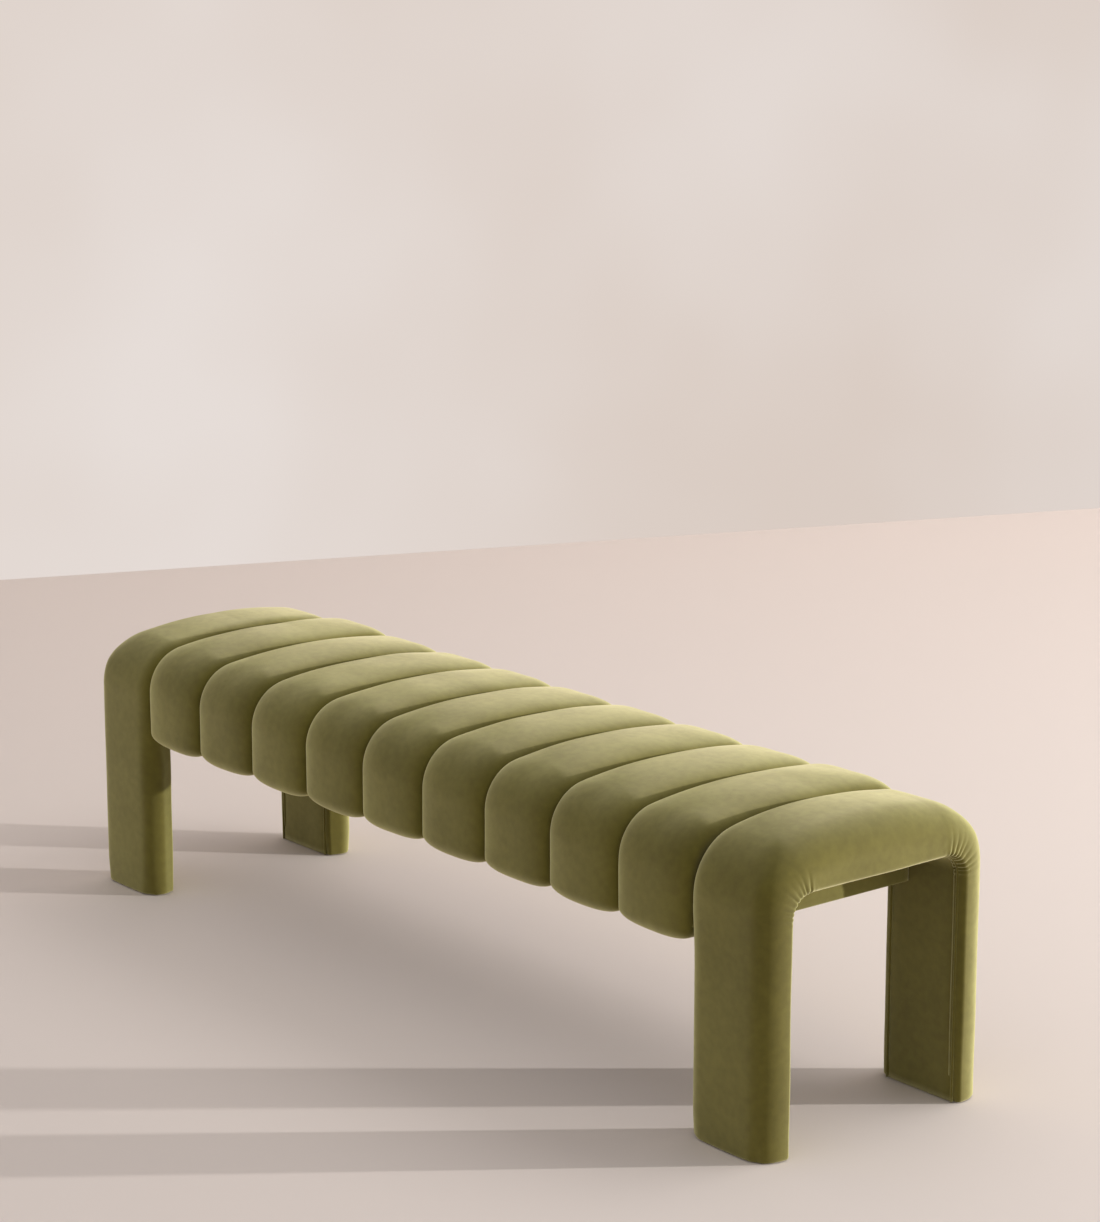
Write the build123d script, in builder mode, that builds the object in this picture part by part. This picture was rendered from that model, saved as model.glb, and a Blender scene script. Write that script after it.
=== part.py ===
from build123d import *
import os
from math import asin, cos, degrees, radians, sin, sqrt

# Upholstered bench: nine velvet rolls over a seat box between two padded arches.
# Millimetres. X runs along the bench, Y from front to back, Z up from the floor.

# Overall sizes
bench_length = 1600
bench_depth = 416
bench_height = 430
overrun = 2
soft_clearance = 0.3

# Arches: an inverted U of padded posts and top rail at each end
arch_width = 153
arch_setback = 4.5
arch_top_height = 80
leg_depth = 52.5
arch_corner_radius = 88
arch_crown_rise = 11.9
arch_bulge = 18.3
arch_bulge_power = 2.05
arch_pad_inset = 9
opening_corner_radius = 30

# Lining and piping of the arch openings
panel_thickness = 4
seam_inset = 13
seam_edge_bevel = 6
piping_radius = 2.25
piping_clearance = 0.3

# Rolls: an inverted U of foam over the seat box, each in its own velvet cover
roll_count = 9
roll_drop = 2.5
roll_corner_radius = 75
roll_crown_rise = 9.6
roll_skirt = 22
roll_foot_radius = 20.5
roll_bulge = 17.4
roll_bulge_power = 2.6
roll_wadding = 4
lip_thickness = 3
lip_width = 26

# Seat box
bearer_thickness = 30
bearer_height = 54
end_rail_thickness = 18
cross_rail_thickness = 30
cross_rail_count = 3
glue_block_leg = 45
glue_block_drop = 10
facing_thickness = 18
facing_height = 71
deck_thickness = 12
tongue_reach = 53
end_panel_thickness = 3
end_panel_lap = 2
dust_cover_thickness = 1.5
dust_cover_margin = 6

# Arch frame
post_thickness = 30
post_width = 115
top_rail_height = 38
rail_bevel_height = 34
rail_bevel_depth = 25
corner_block_leg = 28
leg_cap_thickness = 2
dowel_radius = 4
dowel_length = 34
dowel_spacing = 60
dowel_clearance = 0.05

# Glides and bolts
glide_radius = 12.5
glide_height = 3
glide_bevel = 1
glide_spacing = 90
nail_width = 2.4
nail_length = 16
nail_clearance = 0.05
bolt_radius = 5
bolt_length = 46
bolt_head_radius = 9
bolt_head_height = 4.5
bolt_clearance = 0.5
bolt_edge_distance = 17
bolt_rise = 16
washer_radius = 11
washer_thickness = 1.6
counterbore_radius = 12
counterbore_depth = 8
insert_radius = 7
insert_length = 16
insert_clearance = 0.05

# Where a bulge breaks into straight strips, as shares of the half width
roll_strip_shares = (0, 0.45, 0.74, 0.91, 1)
arch_strip_shares = (0, 0.4, 0.68, 0.88, 1)

# Flats that stand for each rounded stretch of the velvet, and for each small round
corner_flat_count = 8
crown_flat_count = 6
foot_flat_count = 3
piping_flat_count = 8
peg_flat_count = 12
glide_flat_count = 24

# Worked out from the sizes above
arch_depth = bench_depth - 2 * arch_setback
opening_width = arch_depth - 2 * leg_depth
opening_height = bench_height - arch_top_height
roll_height = bench_height - roll_drop
facing_bottom = opening_height - facing_height
roll_bottom = facing_bottom - roll_skirt
roll_span = bench_length - 2 * arch_width
roll_pitch = roll_span / roll_count
roll_inset = roll_bulge + roll_wadding
roll_middles = [(number + 0.5) * roll_pitch - roll_span / 2 for number in range(roll_count)]
arch_centre = bench_length / 2 - arch_width / 2
leg_bottom = glide_height
leg_face = opening_width / 2
post_bottom = leg_bottom + leg_cap_thickness
post_face = leg_face + panel_thickness
post_back = post_face + post_thickness
post_middle = post_face + post_thickness / 2
pad_face = arch_depth / 2 - arch_pad_inset
cap_middle = (post_face + pad_face) / 2
rail_bottom = opening_height + panel_thickness
rail_top = rail_bottom + top_rail_height
rail_shoulder = rail_top - rail_bevel_height
rail_crest = post_back - rail_bevel_depth
piping_seat = piping_radius + piping_clearance
piping_offset = arch_width / 2 - seam_inset + piping_radius
panel_width = arch_width - 2 * (seam_inset + piping_clearance)
bearer_bottom = opening_height - bearer_height
bearer_back = leg_face - bearer_thickness
bearer_middle = leg_face - bearer_thickness / 2
lip_bottom = bearer_bottom - lip_thickness
dust_cover_bottom = lip_bottom - dust_cover_thickness
bearer_end = roll_span / 2 + tongue_reach - end_panel_thickness
end_rail_face = bearer_end - end_rail_thickness
facing_face = leg_face + facing_thickness
deck_top = opening_height + deck_thickness
bolt_x = arch_centre - post_width / 2 + bolt_edge_distance
bolt_z = bearer_bottom + bolt_rise
bolt_seat = post_back - counterbore_depth + washer_thickness
bolt_tip = bolt_seat - bolt_length - bolt_clearance

right_angle = 90
sides = {"left": -1, "right": 1}
ends = {"front": -1, "back": 1}


def peg(radius, start, end):
    # Small round piece or hole along Z, as a prism of peg_flat_count sides
    with BuildPart() as stick:
        with BuildSketch(Plane.XY.offset(start)):
            RegularPolygon(radius, peg_flat_count)
        extrude(amount=end - start)
    return stick.part


def write_piece(piece, name):
    piece.part.label = name
    export_step(piece.part, f"parts/{name}.step")


def bulge_inset(share, bulge, power):
    # How far the padding draws in at a share of the half width, on a squared-off ellipse
    return bulge * (1 - (1 - abs(share) ** power) ** (1 / power))


def flat_points(centre, radius, start, sweep, flats):
    # Corners of straight flats laid tangent to an arc, angles in degrees
    step = radians(sweep) / flats
    reach = radius / cos(step / 2)
    turns = [radians(start) + (number + 0.5) * step for number in range(flats)]
    return [(centre[0] + reach * cos(turn), centre[1] + reach * sin(turn)) for turn in turns]


def crest_points(half_depth, height, corner_radius, crown_rise, inset):
    # Over the front corner, the crowned top and the back corner, drawn in by inset
    corner = half_depth - corner_radius
    corner_height = height - corner_radius - crown_rise
    spoke = (corner**2 + crown_rise**2) / (2 * crown_rise)
    crown_radius = spoke + corner_radius
    crown_low = height - crown_radius
    lean = degrees(asin(corner / spoke))
    turn = right_angle - lean
    radius = corner_radius - inset
    front = flat_points(
        (-corner, corner_height), radius, 2 * right_angle, -turn, corner_flat_count
    )
    crown = flat_points(
        (0, crown_low), crown_radius - inset, right_angle + lean, -2 * lean, crown_flat_count
    )
    back = flat_points((corner, corner_height), radius, turn, -turn, corner_flat_count)
    return front + crown + back


def roll_crest(inset):
    return crest_points(
        bench_depth / 2, roll_height, roll_corner_radius, roll_crown_rise, inset
    )


def arch_crest(inset):
    return crest_points(
        arch_depth / 2, bench_height, arch_corner_radius, arch_crown_rise, inset
    )


def roll_outline():
    # A whole roll from the side, closed flat between its rounded bottom edges
    heel = bench_depth / 2 - roll_foot_radius
    foot = roll_bottom + roll_foot_radius
    back_foot = flat_points((heel, foot), roll_foot_radius, 0, -right_angle, foot_flat_count)
    front_foot = flat_points(
        (-heel, foot), roll_foot_radius, -right_angle, -right_angle, foot_flat_count
    )
    return roll_crest(0) + back_foot + front_foot


def arch_outline():
    # A whole arch from the side, without its opening, running on below the feet
    side = arch_depth / 2
    foot = leg_bottom - arch_bulge
    return arch_crest(0) + [(side, foot), (-side, foot)]


def padded_block(outline, half_width, strip_shares, bulge, power):
    # Crowned across its width: a flat middle strip, then strips bevelled off to each side.
    # Each bevel begins at its strip and takes over the slope from there to the side.
    with BuildPart() as block:
        with BuildSketch(Plane.YZ):
            with BuildLine():
                Polyline(*outline, close=True)
            make_face()
        extrude(amount=half_width)
        slope = 0
        inset = 0
        for near, far in zip(strip_shares[1:], strip_shares[2:]):
            drawn_in = bulge_inset(far, bulge, power)
            steeper = (drawn_in - inset) / ((far - near) * half_width)
            reach = (1 - near) * half_width
            side = block.faces().sort_by(Axis.X)[-1]
            chamfer(
                side.edges(),
                length=(steeper - slope) * reach,
                length2=reach * sqrt(1 + slope**2),
                reference=side,
            )
            slope = steeper
            inset = drawn_in
        mirror(about=Plane.YZ)
    return block.part


def opening_outline(lining, foot):
    # The arch opening widened by a lining, closed flat at the height foot
    half = leg_face + lining
    top = opening_height + lining
    FilletPolyline(
        (-half, foot), (-half, top), (half, top), (half, foot),
        radius=opening_corner_radius + lining,
    )
    Line((half, foot), (-half, foot))


def roll_core_outline(inset, inner_face, inner_top):
    # The U under the velvet: crowned outside, square inside at the seat box
    side = bench_depth / 2 - inset
    return roll_crest(inset) + [
        (side, facing_bottom),
        (inner_face, facing_bottom),
        (inner_face, inner_top),
        (-inner_face, inner_top),
        (-inner_face, facing_bottom),
        (-side, facing_bottom),
    ]


def roll_covers():
    # Velvet and wadding of each roll, its lips turned in under the bearers
    roll = padded_block(
        roll_outline(), roll_pitch / 2, roll_strip_shares, roll_bulge, roll_bulge_power
    )
    with BuildPart() as cover:
        add(roll)
        with BuildSketch(Plane.YZ):
            with BuildLine():
                Polyline(*roll_core_outline(roll_inset, leg_face, bearer_bottom), close=True)
            make_face()
            with Locations((0, bearer_bottom)):
                Rectangle(
                    2 * (leg_face - lip_width), lip_thickness + overrun,
                    align=(Align.CENTER, Align.MAX),
                )
            with Locations((0, lip_bottom)):
                Rectangle(
                    2 * (leg_face - lip_thickness), lip_bottom - roll_bottom + overrun,
                    align=(Align.CENTER, Align.MAX),
                )
        extrude(amount=roll_pitch, both=True, mode=Mode.SUBTRACT)
    shell = cover.part
    for number, middle in enumerate(roll_middles, start=1):
        with BuildPart() as roll_cover:
            with Locations((middle, 0, 0)):
                add(shell)
        write_piece(roll_cover, f"roll_cover_{number}")


def roll_foams():
    # Plain U of foam for each roll, glued over the facing boards and the deck
    for number, middle in enumerate(roll_middles, start=1):
        with BuildPart() as foam:
            with BuildSketch(Plane.YZ.offset(middle)):
                core = roll_core_outline(roll_inset + soft_clearance, facing_face, deck_top)
                with BuildLine():
                    Polyline(*core, close=True)
                make_face()
            extrude(amount=roll_pitch / 2, both=True)
        write_piece(foam, f"roll_foam_{number}")


def arch_covers():
    # Velvet and wadding over the arch frame, turned into the opening at a bevelled seam
    below = leg_bottom - overrun
    block = padded_block(
        arch_outline(), arch_width / 2, arch_strip_shares, arch_bulge, arch_bulge_power
    )
    with BuildPart() as cover:
        add(block)
        split(bisect_by=Plane.XY.offset(leg_bottom))
        with BuildSketch(Plane.YZ):
            with BuildLine():
                opening_outline(0, below)
            make_face()
        extrude(amount=arch_width, both=True, mode=Mode.SUBTRACT)
        flanks = cover.faces().filter_by(Plane.YZ).group_by(Axis.X)
        rim = (flanks[0] + flanks[-1]).edges()
        rim = rim.filter_by(lambda edge: abs(edge.center().Y) <= leg_face)
        rim = rim.filter_by(lambda edge: edge.center().Z <= opening_height)
        chamfer(rim, length=seam_edge_bevel)
        # Rebate for the piping, then the bed of the inner panel
        with BuildSketch(Plane.YZ):
            with BuildLine():
                opening_outline(piping_seat, below)
            make_face()
        extrude(amount=piping_offset + piping_seat, both=True, mode=Mode.SUBTRACT)
        with BuildSketch(Plane.YZ):
            with BuildLine():
                opening_outline(panel_thickness, below)
            make_face()
        extrude(amount=panel_width / 2, both=True, mode=Mode.SUBTRACT)
        # Hollow for the foam and the frame, open under the legs
        with BuildSketch(Plane.YZ):
            with BuildLine():
                hollow = arch_crest(arch_pad_inset)
                Polyline(*hollow, (pad_face, below), (-pad_face, below), close=True)
            make_face()
        extrude(amount=post_width / 2, both=True, mode=Mode.SUBTRACT)
    shell = cover.part
    for side, way in sides.items():
        with BuildPart() as arch_cover:
            with Locations((way * arch_centre, 0, 0)):
                add(shell)
        write_piece(arch_cover, f"{side}_arch_cover")


def arch_foams():
    # Foam over the outer faces of the posts and over the top rail
    side_face = pad_face - soft_clearance
    for side, way in sides.items():
        with BuildPart() as foam:
            with BuildSketch(Plane.YZ.offset(way * arch_centre)):
                with BuildLine():
                    Polyline(
                        *arch_crest(arch_pad_inset + soft_clearance),
                        (side_face, post_bottom),
                        (post_back, post_bottom),
                        (post_back, rail_shoulder),
                        (rail_crest, rail_top),
                        (-rail_crest, rail_top),
                        (-post_back, rail_shoulder),
                        (-post_back, post_bottom),
                        (-side_face, post_bottom),
                        close=True,
                    )
                make_face()
            extrude(amount=post_width / 2, both=True)
        write_piece(foam, f"{side}_arch_foam")


def inner_panels():
    # Velvet-covered lining of each opening, drilled for the frame bolts
    for side, way in sides.items():
        with BuildPart() as panel:
            with BuildSketch(Plane.YZ.offset(way * arch_centre)):
                with BuildLine():
                    opening_outline(panel_thickness, leg_bottom)
                make_face()
                with BuildLine():
                    opening_outline(0, leg_bottom - overrun)
                make_face(mode=Mode.SUBTRACT)
            extrude(amount=panel_width / 2, both=True)
            with Locations(Plane((way * bolt_x, 0, bolt_z), z_dir=(0, 1, 0))):
                add(peg(bolt_radius + bolt_clearance, -post_back, post_back), mode=Mode.SUBTRACT)
        write_piece(panel, f"{side}_inner_panel")


def pipings():
    # Two welts round each opening, one along each edge of the inner panel
    for side, way in sides.items():
        with BuildPart() as piping:
            for offset in (-piping_offset, piping_offset):
                with BuildLine(Plane.YZ.offset(way * arch_centre + offset)) as route:
                    FilletPolyline(
                        (-leg_face, leg_bottom),
                        (-leg_face, opening_height),
                        (leg_face, opening_height),
                        (leg_face, leg_bottom),
                        radius=opening_corner_radius,
                    )
                with BuildSketch(Plane(route.line @ 0, z_dir=route.line % 0)):
                    RegularPolygon(piping_radius, piping_flat_count)
                sweep()
        write_piece(piping, f"{side}_piping")


def posts():
    # Leg posts: counterbored for the bolt, bored for the dowels and the glide nails
    for side, way in sides.items():
        for end, facing in ends.items():
            middle = (way * arch_centre, facing * post_middle)
            bolt_place = Plane((way * bolt_x, facing * post_back, bolt_z), z_dir=(0, facing, 0))
            with BuildPart() as post:
                with Locations((*middle, post_bottom)):
                    Box(
                        post_width, post_thickness, rail_bottom - post_bottom,
                        align=(Align.CENTER, Align.CENTER, Align.MIN),
                    )
                with Locations(bolt_place):
                    add(
                        peg(bolt_radius + bolt_clearance, -post_thickness - overrun, overrun),
                        mode=Mode.SUBTRACT,
                    )
                    add(
                        peg(counterbore_radius, -counterbore_depth, overrun),
                        mode=Mode.SUBTRACT,
                    )
                with Locations((*middle, rail_bottom)):
                    with GridLocations(dowel_spacing, 0, 2, 1):
                        add(
                            peg(dowel_radius + dowel_clearance, -dowel_length / 2, overrun),
                            mode=Mode.SUBTRACT,
                        )
                with Locations((way * arch_centre, facing * cap_middle, leg_bottom)):
                    with GridLocations(glide_spacing, 0, 2, 1):
                        Box(
                            nail_width + 2 * nail_clearance, nail_width + 2 * nail_clearance,
                            nail_length + nail_clearance,
                            align=(Align.CENTER, Align.CENTER, Align.MIN),
                            mode=Mode.SUBTRACT,
                        )
            write_piece(post, f"{side}_{end}_post")


def top_rails():
    # Rail across the two posts, its ends bevelled to follow the rounded corners
    for side, way in sides.items():
        with BuildPart() as rail:
            with BuildSketch(Plane.YZ.offset(way * arch_centre)):
                with BuildLine():
                    Polyline(
                        (-post_back, rail_bottom),
                        (-post_back, rail_shoulder),
                        (-rail_crest, rail_top),
                        (rail_crest, rail_top),
                        (post_back, rail_shoulder),
                        (post_back, rail_bottom),
                        close=True,
                    )
                make_face()
            extrude(amount=post_width / 2, both=True)
            with Locations((way * arch_centre, 0, rail_bottom)):
                with GridLocations(dowel_spacing, 2 * post_middle, 2, 2):
                    add(
                        peg(dowel_radius + dowel_clearance, -overrun, dowel_length / 2),
                        mode=Mode.SUBTRACT,
                    )
        write_piece(rail, f"{side}_top_rail")


def dowels():
    # Two dowels in each joint of a post and the top rail
    for side, way in sides.items():
        with BuildPart() as pegs:
            with Locations((way * arch_centre, 0, rail_bottom)):
                with GridLocations(dowel_spacing, 2 * post_middle, 2, 2):
                    add(peg(dowel_radius, -dowel_length / 2, dowel_length / 2))
        write_piece(pegs, f"{side}_dowels")


def corner_blocks():
    # Cove blocks behind the rounded corners of the inner panel
    for side, way in sides.items():
        with BuildPart() as blocks:
            with BuildSketch(Plane.YZ.offset(way * arch_centre)):
                with Locations((post_face, rail_bottom)):
                    Rectangle(corner_block_leg, corner_block_leg, align=(Align.MAX, Align.MAX))
                corner = leg_face - opening_corner_radius
                with Locations((corner, opening_height - opening_corner_radius)):
                    Circle(opening_corner_radius + panel_thickness, mode=Mode.SUBTRACT)
            extrude(amount=post_width / 2, both=True)
            mirror(about=Plane.XZ)
        write_piece(blocks, f"{side}_corner_blocks")


def leg_caps():
    # Fibreboard under each leg, closing the cover
    cap_depth = pad_face - post_face - 2 * soft_clearance
    for side, way in sides.items():
        with BuildPart() as caps:
            with Locations((way * arch_centre, 0, leg_bottom)):
                with GridLocations(0, 2 * cap_middle, 1, 2):
                    Box(
                        post_width - 2 * soft_clearance, cap_depth, leg_cap_thickness,
                        align=(Align.CENTER, Align.CENTER, Align.MIN),
                    )
                with GridLocations(glide_spacing, 2 * cap_middle, 2, 2):
                    Box(
                        nail_width + 2 * nail_clearance, nail_width + 2 * nail_clearance,
                        2 * leg_cap_thickness + overrun,
                        mode=Mode.SUBTRACT,
                    )
        write_piece(caps, f"{side}_leg_caps")


def glides():
    # Nail-on glides, two under each leg
    with BuildPart() as feet:
        with BuildSketch():
            with GridLocations(2 * arch_centre, 2 * cap_middle, 2, 2):
                with GridLocations(glide_spacing, 0, 2, 1):
                    RegularPolygon(glide_radius, glide_flat_count)
        extrude(amount=glide_height)
        chamfer(feet.edges().group_by(Axis.Z)[0], length=glide_bevel)
        with Locations((0, 0, glide_height)):
            with GridLocations(2 * arch_centre, 2 * cap_middle, 2, 2):
                with GridLocations(glide_spacing, 0, 2, 1):
                    Box(
                        nail_width, nail_width, nail_length,
                        align=(Align.CENTER, Align.CENTER, Align.MIN),
                    )
    write_piece(feet, "glides")


def bearers():
    # Long rails of the seat box. Their ends reach into the arches, rounded and grooved there
    # to pass the inner panel's corners and piping.
    for end, facing in ends.items():
        with BuildPart() as bearer:
            with Locations((0, facing * bearer_middle, bearer_bottom)):
                Box(
                    2 * bearer_end, bearer_thickness, bearer_height,
                    align=(Align.CENTER, Align.CENTER, Align.MIN),
                )
            for way in sides.values():
                with BuildSketch(Plane.YZ.offset(way * (roll_span / 2 + tongue_reach / 2))):
                    with Locations((0, bearer_bottom)):
                        Rectangle(opening_width + overrun, opening_height)
                    with BuildLine():
                        opening_outline(0, leg_bottom)
                    make_face(mode=Mode.SUBTRACT)
                extrude(amount=tongue_reach / 2, both=True, mode=Mode.SUBTRACT)
                with BuildSketch(Plane.YZ.offset(way * (arch_centre - piping_offset))):
                    with Locations((0, bearer_bottom)):
                        Rectangle(opening_width + overrun, opening_height)
                    with BuildLine():
                        opening_outline(-piping_seat, leg_bottom)
                    make_face(mode=Mode.SUBTRACT)
                extrude(amount=piping_seat, both=True, mode=Mode.SUBTRACT)
                mouth = Plane((way * bolt_x, facing * leg_face, bolt_z), z_dir=(0, facing, 0))
                with Locations(mouth):
                    add(
                        peg(insert_radius + insert_clearance, -insert_length, overrun),
                        mode=Mode.SUBTRACT,
                    )
                    add(
                        peg(bolt_radius + bolt_clearance, bolt_tip - leg_face, overrun),
                        mode=Mode.SUBTRACT,
                    )
        write_piece(bearer, f"{end}_bearer")


def end_rails():
    # Rails that close the seat box inside each arch
    for side, way in sides.items():
        with BuildPart() as rail:
            with Locations((way * (bearer_end - end_rail_thickness / 2), 0, bearer_bottom)):
                Box(
                    end_rail_thickness, 2 * bearer_back, bearer_height,
                    align=(Align.CENTER, Align.CENTER, Align.MIN),
                )
        write_piece(rail, f"{side}_end_rail")


def cross_rails():
    # Evenly spaced rails that tie the two bearers together
    spacing = 2 * bearer_end / (cross_rail_count + 1)
    for number in range(1, cross_rail_count + 1):
        with BuildPart() as rail:
            with Locations((number * spacing - bearer_end, 0, bearer_bottom)):
                Box(
                    cross_rail_thickness, 2 * bearer_back, bearer_height,
                    align=(Align.CENTER, Align.CENTER, Align.MIN),
                )
        write_piece(rail, f"cross_rail_{number}")


def glue_blocks():
    # Triangular blocks in the four corners of the seat box
    with BuildPart() as blocks:
        with BuildSketch(Plane.XY.offset(bearer_bottom)):
            with BuildLine():
                Polyline(
                    (end_rail_face, bearer_back),
                    (end_rail_face - glue_block_leg, bearer_back),
                    (end_rail_face, bearer_back - glue_block_leg),
                    close=True,
                )
            make_face()
            mirror(about=Plane.XZ)
            mirror(about=Plane.YZ)
        extrude(amount=bearer_height - glue_block_drop)
    write_piece(blocks, "glue_blocks")


def facing_boards():
    # Boards along the outer faces of the bearers, backing the rolls
    for end, facing in ends.items():
        with BuildPart() as board:
            with Locations((0, facing * (leg_face + facing_thickness / 2), opening_height)):
                Box(
                    roll_span, facing_thickness, opening_height - facing_bottom,
                    align=(Align.CENTER, Align.CENTER, Align.MAX),
                )
        write_piece(board, f"{end}_facing_board")


def seat_deck():
    # Panel that carries the rolls, over the bearers and the facing boards
    with BuildPart() as deck:
        with Locations((0, 0, opening_height)):
            Box(
                roll_span, 2 * facing_face, deck_thickness,
                align=(Align.CENTER, Align.CENTER, Align.MIN),
            )
    write_piece(deck, "seat_deck")


def end_panels():
    # Velvet-covered boards that close the ends of the seat box, seen through the arches
    for side, way in sides.items():
        with BuildPart() as panel:
            with BuildSketch(Plane.YZ.offset(way * (bearer_end + end_panel_thickness / 2))):
                with BuildLine():
                    opening_outline(-soft_clearance, dust_cover_bottom - end_panel_lap)
                make_face()
            extrude(amount=end_panel_thickness / 2, both=True)
        write_piece(panel, f"{side}_end_panel")


def dust_cover():
    # Black sheet that closes the seat box from below
    with BuildPart() as sheet:
        with Locations((0, 0, dust_cover_bottom)):
            Box(
                2 * (bearer_end - dust_cover_margin),
                2 * (leg_face - lip_thickness - dust_cover_margin),
                dust_cover_thickness,
                align=(Align.CENTER, Align.CENTER, Align.MIN),
            )
    write_piece(sheet, "dust_cover")


def frame_bolts():
    # One bolt through each post and the inner panel into the bearer
    with BuildPart() as bolts:
        for way in sides.values():
            for facing in ends.values():
                seat = Plane((way * bolt_x, facing * bolt_seat, bolt_z), z_dir=(0, facing, 0))
                with Locations(seat):
                    add(peg(bolt_head_radius, 0, bolt_head_height))
                    add(peg(bolt_radius, -bolt_length, 0))
    write_piece(bolts, "frame_bolts")


def bolt_washers():
    # A washer in each counterbore
    with BuildPart() as washers:
        for way in sides.values():
            for facing in ends.values():
                seat = Plane((way * bolt_x, facing * bolt_seat, bolt_z), z_dir=(0, facing, 0))
                with Locations(seat):
                    add(peg(washer_radius, -washer_thickness, 0))
                    add(
                        peg(bolt_radius + bolt_clearance, -washer_thickness - overrun, overrun),
                        mode=Mode.SUBTRACT,
                    )
    write_piece(washers, "bolt_washers")


def threaded_inserts():
    # Steel inserts in the bearers that take the bolts
    with BuildPart() as inserts:
        for way in sides.values():
            for facing in ends.values():
                mouth = Plane((way * bolt_x, facing * leg_face, bolt_z), z_dir=(0, facing, 0))
                with Locations(mouth):
                    add(peg(insert_radius, -insert_length, 0))
                    add(
                        peg(bolt_radius + insert_clearance, -insert_length - overrun, overrun),
                        mode=Mode.SUBTRACT,
                    )
    write_piece(inserts, "threaded_inserts")


os.makedirs("parts", exist_ok=True)
roll_covers()
roll_foams()
arch_covers()
arch_foams()
inner_panels()
pipings()
posts()
top_rails()
dowels()
corner_blocks()
leg_caps()
glides()
bearers()
end_rails()
cross_rails()
glue_blocks()
facing_boards()
seat_deck()
end_panels()
dust_cover()
frame_bolts()
bolt_washers()
threaded_inserts()
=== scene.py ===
import bpy
import math
import numpy as np
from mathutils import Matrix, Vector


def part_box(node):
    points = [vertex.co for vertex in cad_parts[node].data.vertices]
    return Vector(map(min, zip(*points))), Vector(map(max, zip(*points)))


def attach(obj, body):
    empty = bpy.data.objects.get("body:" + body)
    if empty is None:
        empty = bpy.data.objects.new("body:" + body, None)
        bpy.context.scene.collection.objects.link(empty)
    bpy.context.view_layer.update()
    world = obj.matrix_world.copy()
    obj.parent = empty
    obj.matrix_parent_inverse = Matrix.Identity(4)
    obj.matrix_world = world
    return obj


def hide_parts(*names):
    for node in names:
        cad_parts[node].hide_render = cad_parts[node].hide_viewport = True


# Upholstered bench: nine velvet rolls over a seat box, hung between two padded arches that
# stand as its legs. Metres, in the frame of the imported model.
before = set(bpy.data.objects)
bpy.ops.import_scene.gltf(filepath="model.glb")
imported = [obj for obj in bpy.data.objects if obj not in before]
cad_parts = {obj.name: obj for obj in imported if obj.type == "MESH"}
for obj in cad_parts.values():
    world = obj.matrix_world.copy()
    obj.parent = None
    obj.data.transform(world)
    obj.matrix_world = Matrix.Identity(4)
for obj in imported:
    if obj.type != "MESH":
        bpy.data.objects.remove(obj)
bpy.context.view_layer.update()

# Seat box and leg frames: planed hardwood bearers, rails and posts, joined with dowels, cove
# blocks and glue blocks. All of it ends up under foam and velvet.


def effect_group(name, inputs, outputs):
    group = bpy.data.node_groups.new(name, "ShaderNodeTree")
    for title, kind in inputs:
        group.interface.new_socket(title, in_out="INPUT", socket_type=kind)
    for title, kind in outputs:
        group.interface.new_socket(title, in_out="OUTPUT", socket_type=kind)
    return group, group.nodes.new("NodeGroupInput"), group.nodes.new("NodeGroupOutput")


def add_noise(group, vector, scale, detail):
    noise = group.nodes.new("ShaderNodeTexNoise")
    noise.inputs["Detail"].default_value = detail
    group.links.new(vector, noise.inputs["Vector"])
    if isinstance(scale, (int, float)):
        noise.inputs["Scale"].default_value = scale
    else:
        group.links.new(scale, noise.inputs["Scale"])
    return noise.outputs["Fac"]


def add_mix(group, factor, first, second):
    mix = group.nodes.new("ShaderNodeMix")
    mix.data_type = "RGBA"
    group.links.new(factor, mix.inputs["Factor"])
    group.links.new(first, mix.inputs["A"])
    group.links.new(second, mix.inputs["B"])
    return mix.outputs["Result"]


def add_range(group, value, low, high, to_low=0.0, to_high=1.0):
    spread = group.nodes.new("ShaderNodeMapRange")
    for title, number in (
        ("From Min", low), ("From Max", high), ("To Min", to_low), ("To Max", to_high),
    ):
        spread.inputs[title].default_value = number
    group.links.new(value, spread.inputs["Value"])
    return spread.outputs["Result"]


def new_material(name, group, values, roughness, bump_strength, bump_depth):
    # A Principled shader whose colour and relief come from a shared effect
    material = bpy.data.materials.new(name)
    material.use_nodes = True
    tree = material.node_tree
    shader = tree.nodes["Principled BSDF"]
    effect = tree.nodes.new("ShaderNodeGroup")
    effect.node_tree = group
    for title, value in values.items():
        effect.inputs[title].default_value = value
    shader.inputs["Roughness"].default_value = roughness
    relief = tree.nodes.new("ShaderNodeBump")
    relief.inputs["Strength"].default_value = bump_strength
    relief.inputs["Distance"].default_value = bump_depth
    tree.links.new(effect.outputs["Color"], shader.inputs["Base Color"])
    tree.links.new(effect.outputs["Height"], relief.inputs["Height"])
    tree.links.new(relief.outputs["Normal"], shader.inputs["Normal"])
    return material


def dress(material, *nodes):
    for node in nodes:
        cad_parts[node].data.materials.clear()
        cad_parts[node].data.materials.append(material)


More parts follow.
